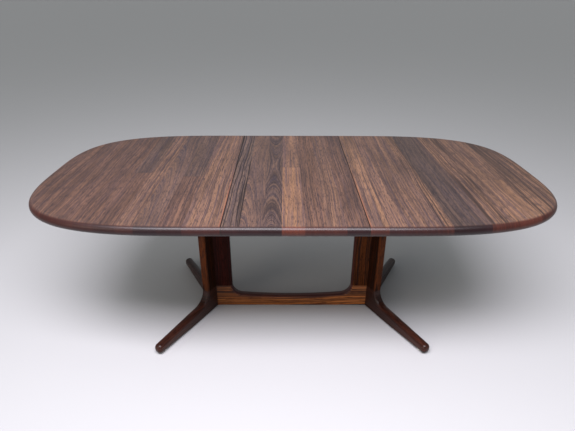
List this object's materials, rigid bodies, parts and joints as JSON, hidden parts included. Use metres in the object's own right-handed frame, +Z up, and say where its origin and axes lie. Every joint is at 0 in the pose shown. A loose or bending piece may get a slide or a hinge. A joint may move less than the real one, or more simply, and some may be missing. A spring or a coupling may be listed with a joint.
{
  "type": "extension dining table",
  "caption": "Oval-ended dining table with two half tops that slide apart on hidden runners, a lift-out leaf and two splayed pedestals joined by a U-shaped frame.",
  "frame": {"origin": "on the floor, at the middle of the table", "axes": "+X along the table to the right, +Y across it to the back, +Z up"},
  "size_m": [2.07, 1.05, 0.72],
  "materials": {
    "top_wood": "oiled rosewood, staves side by side, satin",
    "leaf_wood": "oiled rosewood, staves side by side, satin",
    "post_wood": "oiled dark red-brown rosewood, satin",
    "foot_wood": "oiled dark rosewood, satin",
    "frame_wood": "oiled red-brown rosewood, satin",
    "runner_wood": "waxed beech",
    "batten_wood": "plain beech",
    "dowel_wood": "plain beech dowel",
    "brass_screws": "satin brass",
    "steel_bolts": "zinc plated",
    "glide_plastic": "moulded nylon"
  },
  "bodies": {
    "base": {"front_rail": "runner_wood", "back_rail": "runner_wood", "left_bearer": "frame_wood", "right_bearer": "frame_wood", "rail_bolts": "steel_bolts", "bearer_bolts": "steel_bolts", "left_upright": "frame_wood", "right_upright": "frame_wood", "stretcher": "frame_wood", "frame_dowels": "dowel_wood", "left_front_post": "post_wood", "left_back_post": "post_wood", "right_front_post": "post_wood", "right_back_post": "post_wood", "left_front_foot": "foot_wood", "left_back_foot": "foot_wood", "right_front_foot": "foot_wood", "right_back_foot": "foot_wood", "foot_dowels": "dowel_wood", "foot_glides": "glide_plastic"},
    "left_half": {"left_half_top": "top_wood", "left_front_runner": "runner_wood", "left_back_runner": "runner_wood", "left_front_stop": "runner_wood", "left_back_stop": "runner_wood", "left_end_batten": "batten_wood", "left_top_screws": "brass_screws"},
    "right_half": {"right_half_top": "top_wood", "right_front_runner": "runner_wood", "right_back_runner": "runner_wood", "right_front_stop": "runner_wood", "right_back_stop": "runner_wood", "right_end_batten": "batten_wood", "right_top_screws": "brass_screws"},
    "loose_leaf": {"leaf": "leaf_wood", "leaf_left_cleat": "batten_wood", "leaf_right_cleat": "batten_wood", "leaf_screws": "brass_screws"}
  },
  "joints": [
    {"name": "left_half_slide", "type": "slide", "parent": "base", "child": "left_half", "axis": [-1, 0, 0], "range_m": [0, 0.25]},
    {"name": "right_half_slide", "type": "slide", "parent": "base", "child": "right_half", "axis": [1, 0, 0], "range_m": [0, 0.25]},
    {"name": "leaf_lift", "type": "slide", "parent": "base", "child": "loose_leaf", "axis": [0, 0, 1], "range_m": [0, 0.3]}
  ]
}
